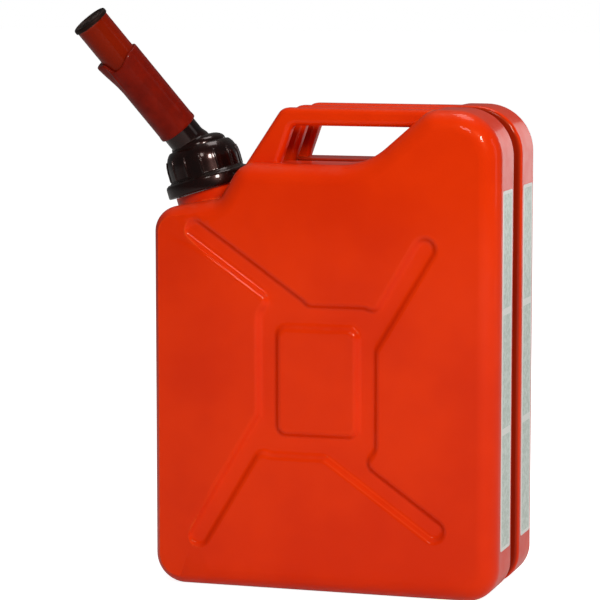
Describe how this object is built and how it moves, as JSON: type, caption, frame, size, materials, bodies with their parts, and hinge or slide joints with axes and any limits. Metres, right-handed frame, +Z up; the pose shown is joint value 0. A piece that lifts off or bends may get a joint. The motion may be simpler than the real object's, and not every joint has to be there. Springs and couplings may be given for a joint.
{
  "type": "safety fuel can",
  "caption": "Flat-sided pressed-steel fuel can with a parallel-bar handle, welded waist seam, screw collar and a swivelling spring-shut pouring spout.",
  "frame": {"origin": "under the middle of the whole assembly, spout included, on the plane the base stands on", "axes": "+X along the can's width, away from the spout; +Z up; +Y from the front face to the rear face"},
  "size_m": [0.4284, 0.165, 0.5612],
  "materials": {
    "can_paint": "gloss orange-red enamel over pressed steel",
    "weld_paint": "gloss orange-red enamel",
    "label_sheet": "matt pale grey-green printed sheet, left blank",
    "neck_steel": "plain drawn steel, zinc plated",
    "gauze_brass": "perforated brass",
    "seal_rubber": "black nitrile rubber",
    "collar_plastic": "satin black moulded plastic",
    "sleeve_red": "deep red gloss plastic",
    "nozzle_red": "deep red gloss enamel",
    "tip_black": "textured black plastic",
    "inner_plastic": "natural white plastic",
    "bright_steel": "bright steel"
  },
  "bodies": {
    "can": {"front_shell": "can_paint", "rear_shell": "can_paint", "seam_weld": "weld_paint", "front_handle_bar": "can_paint", "middle_handle_bar": "can_paint", "rear_handle_bar": "can_paint", "handle_webs": "weld_paint", "front_label": "label_sheet", "rear_label": "label_sheet", "neck_seat_ring": "can_paint", "filler_neck": "neck_steel", "flame_arrester": "gauze_brass", "breather_tube": "neck_steel"},
    "seal": {"neck_gasket": "seal_rubber"},
    "collar": {"screw_collar": "collar_plastic"},
    "spout": {"spout_base": "collar_plastic", "nozzle_tube": "nozzle_red", "nozzle_o_ring": "seal_rubber", "tip_cap": "tip_black", "stem_guide": "inner_plastic", "air_vent_tube": "inner_plastic", "return_spring": "bright_steel"},
    "sleeve": {"release_sleeve": "sleeve_red", "cross_pin": "bright_steel", "valve_stem": "bright_steel", "valve_disc": "bright_steel", "valve_seal": "seal_rubber", "spring_washer": "bright_steel", "stem_clip": "bright_steel"}
  },
  "joints": [
    {"name": "spout_lift", "type": "slide", "parent": "can", "child": "seal", "axis": [-0.2924, 0, 0.9563], "range_m": [0, 0.0101]},
    {"name": "collar_turn", "type": "hinge", "parent": "seal", "child": "collar", "pos_m": [-0.10012, 0, 0.3957], "axis": [-0.2924, 0, 0.9563], "range_deg": [0, 720]},
    {"name": "spout_swivel", "type": "hinge", "parent": "seal", "child": "spout", "pos_m": [-0.10012, 0, 0.3957], "axis": [-0.2924, 0, 0.9563], "continuous": true},
    {"name": "sleeve_slide", "type": "slide", "parent": "spout", "child": "sleeve", "axis": [0.5256, 0.3648, -0.7685], "range_m": [0, 0.012], "stiffness_N_per_m": 600, "springref_m": -0.012, "deforming": ["return_spring"]}
  ],
  "couplings": [
    {"joint": "spout_lift", "follows": "collar_turn", "m_per_rad": 0.00079577}
  ]
}
